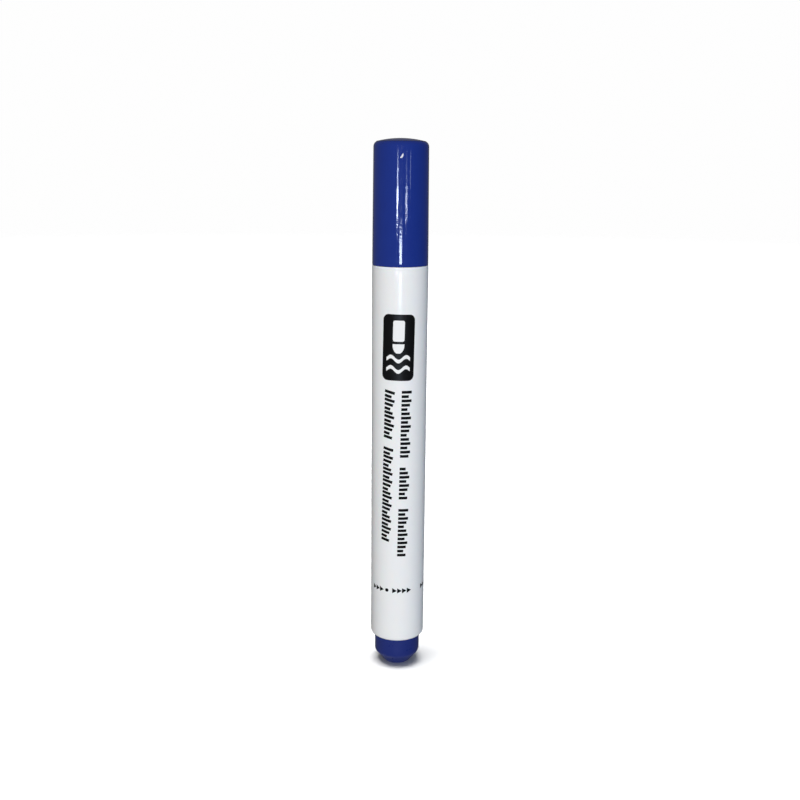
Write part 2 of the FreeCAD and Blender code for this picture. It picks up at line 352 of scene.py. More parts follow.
@dataclass(frozen=True)
class MouldedPlastic:
    """Injection-moulded plastic: pigment, gloss, moulding waves, orange peel and rubbed edges."""

    name: str
    pigment: Colour
    pigment_patch: Colour
    worn: Colour
    skin: Skin
    translucency: float = 0.0
    wear: float = 0.5
    ior: float = 1.49
    worn_roughness: float = 0.2
    light_travel: float = 1.5 * MM

    def make(self, groups: ShaderGroups) -> Material:
        """Build the material.

        Args:
            groups: the shared shader groups.

        Returns:
            The material.
        """
        material, shader = start_material(self.name)
        tree = material.node_tree
        skin = self.skin.place(tree, shader, groups)
        wear = place_group(tree, groups.wear, {})
        rubbed = add_math(tree, "MULTIPLY", wear.outputs["Mask"], self.wear)
        colour = mix_colours(tree, skin.outputs["Mottle"], self.pigment, self.pigment_patch)
        tree.links.new(mix_colours(tree, rubbed, colour, self.worn), shader.inputs["Base Color"])
        duller = add_math(tree, "MULTIPLY", rubbed, self.worn_roughness)
        rough = add_math(tree, "ADD", skin.outputs["Roughness"], duller)
        tree.links.new(rough, shader.inputs["Roughness"])
        shader.inputs["IOR"].default_value = self.ior
        shader.inputs["Subsurface Weight"].default_value = self.translucency
        shader.inputs["Subsurface Scale"].default_value = self.light_travel
        return material


@dataclass(frozen=True)
class PrintInk:
    """Pad-printed ink: a dense thin film, a little uneven, with pinholes where it missed."""

    name: str
    ink: Colour
    thin: Colour
    skin: Skin = Skin(waves=0.1, peel=0.2, gloss=(0.28, 0.42))
    pinhole_range: tuple[float, float] = (0.66, 0.74)
    pinhole_show: float = 0.6
    pinholes_per_metre: float = 9000.0
    ior: float = 1.36

    def make(self, groups: ShaderGroups) -> Material:
        """Build the material.

        Args:
            groups: the shared shader groups.

        Returns:
            The material.
        """
        material, shader = start_material(self.name)
        tree = material.node_tree
        self.skin.place(tree, shader, groups)
        speckle = add_noise(tree, self.pinholes_per_metre, 2.0)
        missed = tree.nodes.new("ShaderNodeMapRange")
        for label, number in zip(("From Min", "From Max"), self.pinhole_range):
            missed.inputs[label].default_value = number
        missed.inputs["To Max"].default_value = self.pinhole_show
        tree.links.new(speckle.outputs["Fac"], missed.inputs["Value"])
        colour = mix_colours(tree, missed.outputs["Result"], self.ink, self.thin)
        tree.links.new(colour, shader.inputs["Base Color"])
        shader.inputs["IOR"].default_value = self.ior
        return material


@dataclass(frozen=True)
class Felt:
    """Bonded fibre soaked in ink, darker where it is wet."""

    name: str
    wet: Colour
    dry: Colour
    relief: float = 0.7
    sheen: float = 0.25
    roughness: float = 0.72

    def make(self, groups: ShaderGroups) -> Material:
        """Build the material.

        Args:
            groups: the shared shader groups.

        Returns:
            The material.
        """
        material, shader = start_material(self.name)
        tree = material.node_tree
        grain = place_group(tree, groups.fibre, {"Relief": self.relief})
        colour = mix_colours(tree, grain.outputs["Tone"], self.wet, self.dry)
        tree.links.new(colour, shader.inputs["Base Color"])
        tree.links.new(grain.outputs["Normal"], shader.inputs["Normal"])
        shader.inputs["Roughness"].default_value = self.roughness
        shader.inputs["Sheen Weight"].default_value = self.sheen
        return material


@dataclass(frozen=True)
class SoftRubber:
    """Matt black rubber with a faint bloom."""

    name: str
    tone: Colour
    bloom: Colour
    skin: Skin = Skin(waves=0.1, peel=0.4, gloss=(0.5, 0.65))

    def make(self, groups: ShaderGroups) -> Material:
        """Build the material.

        Args:
            groups: the shared shader groups.

        Returns:
            The material.
        """
        material, shader = start_material(self.name)
        tree = material.node_tree
        skin = self.skin.place(tree, shader, groups)
        colour = mix_colours(tree, skin.outputs["Mottle"], self.tone, self.bloom)
        tree.links.new(colour, shader.inputs["Base Color"])
        return material


@dataclass
class Finishes:
    """Every finish of the marker, made once."""

    groups: ShaderGroups
    cap_blue: Material = field(init=False)
    plug_blue: Material = field(init=False)
    barrel_white: Material = field(init=False)
    holder_white: Material = field(init=False)
    cup_natural: Material = field(init=False)
    film_clear: Material = field(init=False)
    print_black: Material = field(init=False)
    print_white: Material = field(init=False)
    # painted highlight: the pale colour of the cap's gate bump
    painted_glint: Material = field(init=False)
    nib_felt: Material = field(init=False)
    ink_fibre: Material = field(init=False)
    seal_rubber: Material = field(init=False)

    def __post_init__(self) -> None:
        """Build each material from its finish."""
        for field_name, finish in FINISHES.items():
            setattr(self, field_name, finish.make(self.groups))


FINISHES = {
    "cap_blue": MouldedPlastic(
        "cap_blue",
        pigment=(0.007, 0.024, 0.205),
        pigment_patch=(0.008, 0.028, 0.225),
        worn=(0.03, 0.05, 0.26),
        skin=Skin(waves=0.28, peel=0.09, gloss=(0.04, 0.08)),
        wear=0.3,
    ),
    "plug_blue": MouldedPlastic(
        "plug_blue",
        pigment=(0.007, 0.018, 0.145),
        pigment_patch=(0.009, 0.021, 0.165),
        worn=(0.03, 0.045, 0.23),
        skin=Skin(waves=0.15, peel=0.12, gloss=(0.26, 0.38)),
        wear=0.45,
    ),
    "barrel_white": MouldedPlastic(
        "barrel_white",
        pigment=(0.80, 0.815, 0.83),
        pigment_patch=(0.82, 0.83, 0.845),
        worn=(0.86, 0.86, 0.86),
        skin=Skin(waves=0.2, peel=0.05, gloss=(0.12, 0.20)),
        translucency=0.06,
        wear=0.15,
    ),
    "holder_white": MouldedPlastic(
        "holder_white",
        pigment=(0.86, 0.86, 0.92),
        pigment_patch=(0.88, 0.88, 0.93),
        worn=(0.90, 0.90, 0.94),
        skin=Skin(waves=0.2, peel=0.06, gloss=(0.14, 0.22)),
        translucency=0.1,
        wear=0.2,
    ),
    "cup_natural": MouldedPlastic(
        "cup_natural",
        pigment=(0.74, 0.75, 0.73),
        pigment_patch=(0.78, 0.79, 0.77),
        worn=(0.82, 0.82, 0.80),
        skin=Skin(waves=0.2, peel=0.15, gloss=(0.3, 0.42)),
        translucency=0.25,
        wear=0.1,
    ),
    "film_clear": MouldedPlastic(
        "film_clear",
        pigment=(0.62, 0.66, 0.72),
        pigment_patch=(0.66, 0.70, 0.76),
        worn=(0.75, 0.78, 0.82),
        skin=Skin(waves=0.5, peel=0.1, gloss=(0.1, 0.2)),
        wear=0.0,
    ),
    "print_black": PrintInk("print_black", ink=(0.002, 0.002, 0.0025), thin=(0.012, 0.012, 0.013)),
    "print_white": PrintInk("print_white", ink=(0.80, 0.81, 0.82), thin=(0.66, 0.67, 0.68)),
    # painted highlight: pale lavender-white that stands in for the light the gate bump catches on the
    # blue cap
    "painted_glint": MouldedPlastic(
        "painted_glint",
        pigment=(0.80, 0.81, 0.93),
        pigment_patch=(0.88, 0.89, 0.96),
        worn=(0.9, 0.9, 0.95),
        skin=Skin(waves=0.1, peel=0.2, gloss=(0.2, 0.3)),
        wear=0.3,
    ),
    "nib_felt": Felt("nib_felt", wet=(0.006, 0.010, 0.12), dry=(0.02, 0.035, 0.24)),
    "ink_fibre": Felt("ink_fibre", wet=(0.01, 0.02, 0.20), dry=(0.04, 0.07, 0.36), relief=1.0),
    "seal_rubber": SoftRubber("seal_rubber", tone=(0.012, 0.012, 0.012), bloom=(0.03, 0.03, 0.032)),
}


# ---------------------------------------------------------------- modelling by hand


def clear_selection() -> None:
    """Deselect every object, so that an operator touches only what is added next."""
    if bpy.context.object and bpy.context.object.mode != "OBJECT":
        bpy.ops.object.mode_set(mode="OBJECT")
    bpy.ops.object.select_all(action="DESELECT")


def make_active(piece: Object) -> None:
    """Select one piece alone, as the active one.

    Args:
        piece: the piece.
    """
    clear_selection()
    piece.select_set(True)
    bpy.context.view_layer.objects.active = piece


def pick(piece: Object, wanted: Callable[[Vector], bool], mode: str = "VERT") -> int:
    """Select the parts of a mesh in edit mode whose every vertex is wanted.

    Args:
        piece: the object in edit mode.
        wanted: the test on a vertex's place.
        mode: VERT, EDGE or FACE.

    Returns:
        How many were selected.
    """
    bpy.ops.mesh.select_mode(type=mode)
    bpy.ops.mesh.select_all(action="DESELECT")
    mesh = bmesh.from_edit_mesh(piece.data)
    groups = {"VERT": mesh.verts, "EDGE": mesh.edges, "FACE": mesh.faces}[mode]
    picked = 0
    for item in groups:
        corners = [item] if mode == "VERT" else item.verts
        if all(wanted(corner.co) for corner in corners):
            item.select_set(True)
            picked += 1
    mesh.select_flush_mode()
    bmesh.update_edit_mesh(piece.data)
    return picked


def at_ring(radius: float, height: float) -> Callable[[Vector], bool]:
    """Test for a vertex on the ring of this radius and height about the marker's axis."""
    return lambda co: abs(co.z - height) < NEAR and abs(math.hypot(co.x, co.y) - radius) < NEAR


def settle() -> None:
    """Merge doubles and turn faces outwards on the mesh in edit mode, then leave edit mode."""
    bpy.ops.mesh.select_all(action="SELECT")
    bpy.ops.mesh.remove_doubles(threshold=MERGE_DISTANCE)
    bpy.ops.mesh.normals_make_consistent(inside=False)
    bpy.ops.object.mode_set(mode="OBJECT")


def shade(piece: Object) -> None:
    """Smooth the shading, with true creases kept."""
    make_active(piece)
    bpy.ops.object.shade_smooth_by_angle(angle=SMOOTH_BELOW, keep_sharp_edges=True)


def apply_modifiers(piece: Object) -> None:
    """Apply each modifier of a piece in order.

    Args:
        piece: the piece.
    """
    make_active(piece)
    for modifier in list(piece.modifiers):
        bpy.ops.object.modifier_apply(modifier=modifier.name)


def close_ring(piece: Object, radius: float, height: float) -> None:
    """Close a small ring about the axis with a fan, in edit mode.

    Args:
        piece: the object in edit mode.
        radius: the ring's radius.
        height: the ring's height.
    """
    if not pick(piece, at_ring(radius, height), "EDGE"):
        raise ValueError(f"{piece.name}: no ring at radius {radius:.6f}, height {height:.6f}")
    bpy.ops.mesh.edge_face_add()
    bpy.ops.mesh.poke()


@dataclass
class TurnedPiece:
    """A piece drawn as a lathe turns it: rings extruded one after another about the axis."""

    name: str
    profile: Profile
    closed: bool = True
    steps: int = ROUND_STEPS

    def build(self) -> Object:
        """Add the first ring, extrude it through the profile, and join the ends.

        Returns:
            The finished mesh object, at the origin.
        """
        clear_selection()
        first_radius, first_height = self.profile[0]
        bpy.ops.mesh.primitive_circle_add(
            vertices=self.steps, radius=first_radius, fill_type="NOTHING", location=(0, 0, 0)
        )
        piece = bpy.context.object
        piece.name = self.name
        piece.data.name = self.name
        bpy.ops.object.mode_set(mode="EDIT")
        bpy.ops.mesh.select_all(action="SELECT")
        bpy.ops.transform.translate(value=(0, 0, first_height))
        radius, height = first_radius, first_height
        corners = self.profile[1:] + ([self.profile[0]] if self.closed else [])
        for next_radius, next_height in corners:
            rise = (0, 0, next_height - height)
            bpy.ops.mesh.extrude_edges_move(TRANSFORM_OT_translate={"value": rise})
            scale = next_radius / radius
            bpy.ops.transform.resize(value=(scale, scale, 1), center_override=(0, 0, next_height))
            radius, height = next_radius, next_height
        if not self.closed:
            close_ring(piece, radius, height)
            close_ring(piece, first_radius, first_height)
        settle()
        return piece


def dress(piece: Object, body: Body, slot: Slot, finish: Material, *nodes: str) -> None:
    """Give a new piece its finish and body, and let it stand for its CAD nodes.

    Args:
        piece: the finished mesh.
        body: the rigid body that it rides on.
        slot: its material slot in the record; not used.
        finish: its material.
        nodes: the CAD nodes that it replaces.
    """
    piece.data.materials.clear()
    piece.data.materials.append(finish)
    shade(piece)
    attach(piece, body.value)
    if nodes:
        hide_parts(*nodes)
    log.info("%s: %d faces on %s", piece.name, len(piece.data.polygons), body.value)


def dress_node(node: str, finish: Material) -> None:
    """Give a carried-over CAD node its finish.

    Args:
        node: the node's name.
        finish: its material.
    """
    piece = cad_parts[node]
    piece.data.materials.clear()
    piece.data.materials.append(finish)
    log.info("%s: CAD node kept, finish %s", node, finish.name)


def span(node: str) -> tuple[float, float, float]:
    """Lowest height, highest height and outer radius of a CAD node."""
    low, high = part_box(node)
    return low.z, high.z, (high.x - low.x) / 2


# ---------------------------------------------------------------- profiles and shared shapes


@dataclass(frozen=True)
class Corner:
    """One corner of a lathe profile: its radius, height and rounding."""

    across: float
    up: float
    soft: float = 0.0
    steps: int = 6


def rounded_profile(corners: Sequence[Corner], closed: bool = True) -> Profile:
    """Turn corners into points, with an arc at each soft corner.

    Args:
        corners: the profile's corners in order.
        closed: whether the last corner joins the first.

    Returns:
        The points of the profile.
    """
    points: Profile = []
    last = len(corners) - 1
    for index, corner in enumerate(corners):
        if not corner.soft or (not closed and index in (0, last)):
            points.append((corner.across, corner.up))
            continue
        here = Vector((corner.across, corner.up))
        before, after = corners[index - 1], corners[(index + 1) % len(corners)]
        back = (Vector((before.across, before.up)) - here).normalized()
        ahead = (Vector((after.across, after.up)) - here).normalized()
        half_angle = back.angle(ahead) / 2
        centre = here + (back + ahead).normalized() * (corner.soft / math.sin(half_angle))
        start = here + back * (corner.soft / math.tan(half_angle)) - centre
        first = math.atan2(start.y, start.x)
        sweep = math.pi - 2 * half_angle
        turn = 1 if back.x * ahead.y - back.y * ahead.x < 0 else -1
        for step in range(corner.steps + 1):
            angle = first + turn * sweep * step / corner.steps
            along = (math.cos(angle), math.sin(angle))
            points.append(tuple(middle + corner.soft * part for middle, part in zip(centre, along)))
    return points


def turn_piece(name: str, corners: Sequence[Corner], closed: bool = True) -> Object:
    """Lathe a piece from its corners."""
    return TurnedPiece(name, rounded_profile(corners, closed), closed).build()


def join_pieces(main: Object, extras: Sequence[Object]) -> None:
    """Make several meshes one object, under the main piece's name.

    Args:
        main: the piece that takes the others in.
        extras: the pieces that it takes in.
    """
    clear_selection()
    for extra in extras:
        extra.select_set(True)
    main.select_set(True)
    bpy.context.view_layer.objects.active = main
    bpy.ops.object.join()


def add_tile(centre: Vector, width: float, height: float, lean: float = 0.0) -> None:
    """Add a flat tile that faces -Y to the mesh that is open in edit mode, and leave it selected.

    Args:
        centre: the tile's centre.
        width: its size along X.
        height: its size along Z.
        lean: its turn about Y, in radians.
    """
    bpy.ops.mesh.primitive_plane_add(size=MM, location=centre, rotation=(math.pi / 2, 0, 0))
    size_tile(centre, width, height, lean)


def size_tile(centre: Vector, width: float, height: float, lean: float) -> None:
    """Bring the selected millimetre tile to its size and turn it.

    Args:
        centre: the tile's centre.
        width: its size along X.
        height: its size along Z.
        lean: its turn about Y, in radians.
    """
    bpy.ops.transform.resize(value=(width / MM, 1, height / MM), center_override=centre)
    if lean:
        bpy.ops.transform.rotate(value=-lean, orient_axis="Y", center_override=centre)


def start_flat(name: str, centre: Vector, width: float, height: float, lean: float = 0.0) -> Object:
    """Begin a piece of flat artwork with one tile, and open it in edit mode.

    Args:
        name: the piece's name.
        centre: the first tile's centre.
        width: its size along X.
        height: its size along Z.
        lean: its turn about Y, in radians.

    Returns:
        The artwork, in edit mode, with its place in its mesh.
    """
    clear_selection()
    bpy.ops.mesh.primitive_plane_add(size=MM, location=centre, rotation=(math.pi / 2, 0, 0))
    piece = bpy.context.object
    piece.name = piece.data.name = name
    bpy.ops.object.transform_apply(location=True, rotation=True, scale=True)
    bpy.ops.object.mode_set(mode="EDIT")
    bpy.ops.mesh.select_all(action="SELECT")
    size_tile(centre, width, height, lean)
    return piece


@dataclass(frozen=True)
class Wrapping:
    """How flat artwork is laid round a barrel: where its face stands and how fine it is cut."""

    radius: float
    lift: float
    film: float = 0.03 * MM
    cut: float = 0.4 * MM

    def lay(self, piece: Object) -> None:
        """Cut the artwork into strips, bend it round the axis and give it the ink's thickness.

        Args:
            piece: flat artwork on the XZ plane, in edit mode.
        """
        bpy.ops.mesh.select_all(action="SELECT")
        edges = [vertex.co.x for vertex in bmesh.from_edit_mesh(piece.data).verts]
        low, high = min(edges), max(edges)
        for step in range(math.ceil(low / self.cut), math.floor(high / self.cut) + 1):
            bpy.ops.mesh.select_all(action="SELECT")
            bpy.ops.mesh.bisect(plane_co=(step * self.cut, 0, 0), plane_no=(1, 0, 0))
        bpy.ops.mesh.select_all(action="SELECT")
        bpy.ops.mesh.remove_doubles(threshold=MERGE_DISTANCE)
        bpy.ops.object.mode_set(mode="OBJECT")
        bend = piece.modifiers.new("bend", "SIMPLE_DEFORM")
        bend.deform_method = "BEND"
        bend.deform_axis = "Z"
        bend.angle = (high - low) / (self.radius + self.lift)
        ink = piece.modifiers.new("ink_film", "SOLIDIFY")
        ink.thickness = self.film
        ink.offset = -1
        apply_modifiers(piece)
        bpy.ops.object.mode_set(mode="EDIT")
        bpy.ops.mesh.select_all(action="SELECT")
        bpy.ops.transform.translate(value=(0, -(self.radius + self.lift), 0))
        settle()


def wind_ridge(name: str, section: Profile, lead: float, turns: float) -> Object:
    """Wind a four-sided section up a right-hand helix from the +X side, and close its ends.

    Args:
        name: the piece's name.
        section: the section's corners as radius and height, in order round it.
        lead: the rise of one turn.
        turns: how many turns it makes.

    Returns:
        The ridge's closed mesh.
    """
    middle = Vector((section[0][0], 0, section[0][1]))
    piece = start_flat(name, middle, MM, MM)
    start = [vertex.co.copy() for vertex in bmesh.from_edit_mesh(piece.data).verts]
    order = sorted(start, key=lambda co: math.atan2(co.z - middle.z, co.x - middle.x))
    mean_radius, mean_height = centre_of(section)
    wanted = sorted(section, key=lambda at: math.atan2(at[1] - mean_height, at[0] - mean_radius))
    for place, (radius, height) in zip(order, wanted):
        pick(piece, lambda co: (co - place).length < NEAR / 2)
        bpy.ops.transform.translate(value=Vector((radius, 0, height)) - place)
    bpy.ops.mesh.select_all(action="SELECT")
    bpy.ops.mesh.delete(type="ONLY_FACE")
    bpy.ops.object.mode_set(mode="OBJECT")
    winding = piece.modifiers.new("winding", "SCREW")
    winding.axis = "Z"
    winding.angle = FULL_TURN * turns
    winding.screw_offset = lead * turns
    winding.steps = winding.render_steps = round(RIDGE_STEPS * turns)
    apply_modifiers(piece)
    bpy.ops.object.mode_set(mode="EDIT")
    bpy.ops.mesh.select_mode(type="EDGE")
    bpy.ops.mesh.select_all(action="DESELECT")
    bpy.ops.mesh.select_non_manifold()
    bpy.ops.mesh.edge_face_add()
    settle()
    return piece


def centre_of(section: Profile) -> tuple[float, float]:
    """Mean radius and height of a section's corners."""
    count = len(section)
    return sum(at[0] for at in section) / count, sum(at[1] for at in section) / count


@dataclass(frozen=True)
class Thread:
    """The coarse right-hand ridge thread shared by the plug and the barrel."""

    lead: float = 3.0 * MM
    height: float = 0.5 * MM
    root_half: float = 0.55 * MM
    crest_half: float = 0.3 * MM
    embed: float = 0.1 * MM

    def ridge(self, name: str, wall: float, inward: bool, start: float, turns: float) -> Object:
        """Wind one ridge on a wall.

        Args:
            name: the ridge's name.
            wall: the wall's radius.
            inward: whether the ridge stands towards the axis.
            start: the height of its middle where it begins.
            turns: how many turns it makes.

        Returns:
            The ridge's mesh.
        """
        side = -1 if inward else 1
        root, crest = wall - side * self.embed, wall + side * self.height
        section = [
            (root, start - self.root_half),
            (crest, start - self.crest_half),
            (crest, start + self.crest_half),
            (root, start + self.root_half),
        ]
        return wind_ridge(name, section, self.lead, turns)


# ---------------------------------------------------------------- sub-assemblies


@dataclass
class Cap:
    """Drafted outer cap with a crowned top and a gate bump that carries a painted highlight, and the
    sealing cup inside it.
    """

    finishes: Finishes
    crown_radius: float = 6.97 * MM
    shoulder_drop: float = 1.0 * MM
    corner_round: float = 1.5 * MM
    mouth_round: float = 0.12 * MM
    bore_mouth_radius: float = 6.28 * MM
    bore_end_radius: float = 6.02 * MM
    roof: float = 1.7 * MM
    bore_round: float = 0.5 * MM
    pole_radius: float = 0.3 * MM
    wall_shares: tuple[float, ...] = (0.03, 0.2, 0.4, 0.6, 0.8, 0.92)
    dome_shares: tuple[float, ...] = (0.9, 0.75, 0.6, 0.45, 0.3, 0.15)
    # place and shape of the gate bump that carries the painted highlight
    glint_drop: float = 4.9 * MM
    glint_across: float = -0.16 * MM
    glint_stand: float = 6.99 * MM
    glint_radius: float = 0.13 * MM
    glint_lean: float = math.radians(35)
    glint_bends: tuple[tuple[float, float, float], ...] = (
        (0.18 * MM, 0.13 * MM, 1.6),
        (0.2 * MM, 0.22 * MM, 1.2),
        (0.17 * MM, 0.3 * MM, 0.9),
        (0.08 * MM, 0.3 * MM, 0.6),
        (0.0, 0.15 * MM, 0.35),
    )
    cup_disc: float = 0.82 * MM
    cup_radius: float = 5.2 * MM
    cup_bore_radius: float = 4.5 * MM
    cup_lip_radius: float = 4.26 * MM
    lip_rise: float = 0.6 * MM
    lip_height: float = 1.0 * MM
    lip_lead: float = 0.3 * MM
    lip_round: float = 0.1 * MM
    skirt_round: float = 0.12 * MM
    roof_round: float = 0.3 * MM
    disc_lead: float = 0.5 * MM

    def build(self) -> None:
        """Build and dress every piece of the cap."""
        self.build_shell()
        self.build_painted_glint()
        self.build_cup()

    def dome_height(self, radius: float, top: float) -> float:
        """Height of the crowned top at a radius.

        Args:
            radius: the distance from the axis.
            top: the crown's highest point.

        Returns:
            The height.
        """
        rise = self.shoulder_drop
        sphere = (self.crown_radius**2 + rise**2) / (2 * rise)
        return top - sphere + math.sqrt(sphere**2 - radius**2)

    def build_shell(self) -> None:
        """The outer cap: bore, mouth, drafted wall, soft corner and crowned top."""
        bottom, top, mouth_radius = span("cap_shell")
        shoulder = top - self.shoulder_drop
        bore_end = top - self.roof
        corners = [
            Corner(self.pole_radius, bore_end),
            Corner(self.bore_end_radius, bore_end, self.bore_round),
            Corner(self.bore_mouth_radius, bottom, self.mouth_round, 3),
            Corner(mouth_radius, bottom, self.mouth_round, 4),
        ]
        for share in self.wall_shares:
            radius = mouth_radius + share * (self.crown_radius - mouth_radius)
            corners.append(Corner(radius, bottom + share * (shoulder - bottom)))
        corners.append(Corner(self.crown_radius, shoulder, self.corner_round, 12))
        for share in self.dome_shares:
            radius = share * self.crown_radius
            corners.append(Corner(radius, self.dome_height(radius, top)))
        corners.append(Corner(self.pole_radius, top))
        piece = turn_piece("cap_skin", corners, closed=False)
        dress(piece, Body.CAP, Slot.CAP, self.finishes.cap_blue, "cap_shell")

    def build_painted_glint(self) -> None:
        """The small comma-shaped bump that the mould's gate left near the cap's top, coloured pale as a
        painted highlight.
        """
        _, top, _ = span("cap_shell")
        foot = Vector((self.glint_across, -self.glint_stand, top - self.glint_drop))
        clear_selection()
        bpy.ops.mesh.primitive_circle_add(
            vertices=16,
            radius=self.glint_radius,
            fill_type="TRIFAN",
            location=foot,
            rotation=(0, self.glint_lean, 0),
        )
        piece = bpy.context.object
        piece.name = piece.data.name = "painted_glint_bump"
        bpy.ops.object.transform_apply(location=True, rotation=True, scale=True)
        bpy.ops.object.mode_set(mode="EDIT")
        bpy.ops.mesh.select_all(action="SELECT")
        place = foot.copy()
        for across, up, swell in self.glint_bends:
            step = Vector((across, 0, up))
            bpy.ops.mesh.extrude_region_move(TRANSFORM_OT_translate={"value": step})
            place += step
            bpy.ops.transform.resize(value=(swell, swell, swell), center_override=place)
        settle()
        # the bump's pale finish is a painted highlight
        dress(piece, Body.CAP, Slot.CAP, self.finishes.painted_glint)

    def build_cup(self) -> None:
        """The sealing cup: a pressed-in disc, a thin skirt and a lip that grips the nose."""
        bottom, top, disc_radius = span("inner_cap")
        disc_bottom = top - self.cup_disc
        lip_bottom = bottom + self.lip_rise
        lip_top = lip_bottom + self.lip_height
        corners = [
            Corner(self.pole_radius, disc_bottom),
            Corner(self.cup_bore_radius, disc_bottom, self.roof_round, 4),
            Corner(self.cup_bore_radius, lip_top + self.lip_lead),
            Corner(self.cup_lip_radius, lip_top, self.lip_round, 2),
            Corner(self.cup_lip_radius, lip_bottom, self.lip_round, 2),
            Corner(self.cup_bore_radius, bottom),
            Corner(self.cup_radius, bottom, self.skirt_round, 3),
            Corner(self.cup_radius, disc_bottom),
            Corner(disc_radius, disc_bottom, self.lip_round, 2),
            Corner(disc_radius, top - self.disc_lead),
            Corner(disc_radius - self.disc_lead, top),
            Corner(self.pole_radius, top),
        ]
        piece = turn_piece("sealing_cup", corners, closed=False)
        dress(piece, Body.CAP, Slot.CUP, self.finishes.cup_natural, "inner_cap")


@dataclass
class Barrel:
    """White barrel tube with its tail recess, threaded throat and inner centring ribs."""

    finishes: Finishes
    thread: Thread
    bore_radius: float = 6.25 * MM
    tail_round: float = 0.9 * MM
    front_round: float = 0.12 * MM
    edge_round: float = 0.15 * MM
    edge_support: float = 1.5 * MM
    recess_radius: float = 6.28 * MM
    recess_depth: float = 1.5 * MM
    throat_radius: float = 5.35 * MM
    throat_end: float = 7.7 * MM
    ridge_rise: float = 2.25 * MM
    ridge_turns: float = 1.35
    rib_inner_radius: float = 5.66 * MM
    rib_width: float = 0.6 * MM
    rib_front_gap: float = 11.6 * MM
    rib_embed: float = 0.1 * MM
    rib_round: float = 0.12 * MM
    rib_count: int = 6

    def build(self) -> None:
        """Build and dress the tube with its ridge and ribs."""
        bottom, top, radius = span("barrel")
        throat_top = bottom + self.throat_end
        corners = [
            Corner(self.recess_radius, bottom, self.edge_round, 3),
            Corner(radius, bottom, self.tail_round, 12),
            Corner(radius, bottom + self.tail_round + self.edge_support),
            Corner(radius, (bottom + top) / 2),
            Corner(radius, top - self.front_round - self.edge_support),
            Corner(radius, top, self.front_round, 4),
            Corner(self.bore_radius, top),
            Corner(self.bore_radius, top - self.edge_support),
            Corner(self.bore_radius, throat_top + self.edge_support),
            Corner(self.bore_radius, throat_top),
            Corner(self.throat_radius, throat_top, self.edge_round, 3),
            Corner(self.throat_radius, bottom + self.recess_depth, self.edge_round, 3),
            Corner(self.recess_radius, bottom + self.recess_depth),
        ]
        piece = turn_piece("barrel_skin", corners)
        ridge = self.thread.ridge(
            "throat_ridge", self.throat_radius, True, bottom + self.ridge_rise, self.ridge_turns
        )
        join_pieces(piece, [ridge, *self.build_ribs(throat_top, top - self.rib_front_gap)])
        dress(piece, Body.BARREL, Slot.BARREL, self.finishes.barrel_white, "barrel")

    def build_ribs(self, low: float, high: float) -> list[Object]:
        """The ribs along the bore, made once and copied round the axis.

        Args:
            low: the ribs' lower end.
            high: their upper end.

        Returns:
            The ribs, each its own object.
        """
        depth = self.bore_radius + self.rib_embed - self.rib_inner_radius
        clear_selection()
        middle = (self.rib_inner_radius + depth / 2, 0, (low + high) / 2)
        bpy.ops.mesh.primitive_cube_add(size=1, location=middle)
        rib = bpy.context.object
        rib.name = "centring_rib"
        rib.scale = (depth, self.rib_width, high - low)
        bpy.ops.object.transform_apply(location=True, rotation=True, scale=True)
        bpy.ops.object.mode_set(mode="EDIT")
        pick(rib, lambda co: co.x < self.rib_inner_radius + self.rib_embed, "EDGE")
        bpy.ops.mesh.bevel(offset=self.rib_round, segments=2, affect="EDGES")
        settle()
        ribs = [rib]
        for count in range(1, self.rib_count):
            make_active(rib)
            bpy.ops.object.duplicate(linked=False)
            copy = bpy.context.object
            copy.rotation_euler.z = FULL_TURN * count / self.rib_count
            bpy.ops.object.transform_apply(location=True, rotation=True, scale=True)
            ribs.append(copy)
        return ribs


@dataclass(frozen=True)
class TickLine:
    """A printed line of ticks that runs down the barrel in groups.

    Heights are above the foot, angles are degrees to the right of the front line.
    """

    name: str
    top: float
    top_angle: float
    bottom: float
    bottom_angle: float
    across: float
    groups: tuple[int, ...]
    lean: float = 0.0


TICK_RHYTHM = (1.0, 0.7, 1.0, 0.85, 0.6, 0.85)  # lengths of successive ticks, as shares of the longest


@dataclass(frozen=True)
class Sign:
    """The white sign on the badge: a plain marker's body and nib over two waves."""

    body_width: float = 3.0 * MM
    body_height: float = 5.4 * MM
    body_middle: float = 4.3 * MM
    body_round: float = 0.5 * MM
    nib_top: float = 0.95 * MM
    nib_band: float = 0.7 * MM
    nib_steps: tuple[tuple[float, float], ...] = ((0.75 * MM, 0.86), (0.6 * MM, 0.72), (0.35 * MM, 0.5))
    wave_drops: tuple[float, ...] = (2.9 * MM, 5.6 * MM)
    wave_width: float = 6.0 * MM
    wave_stroke: float = 0.95 * MM
    wave_swing: float = 0.62 * MM
    wave_count: float = 1.5
    wave_steps: int = 30


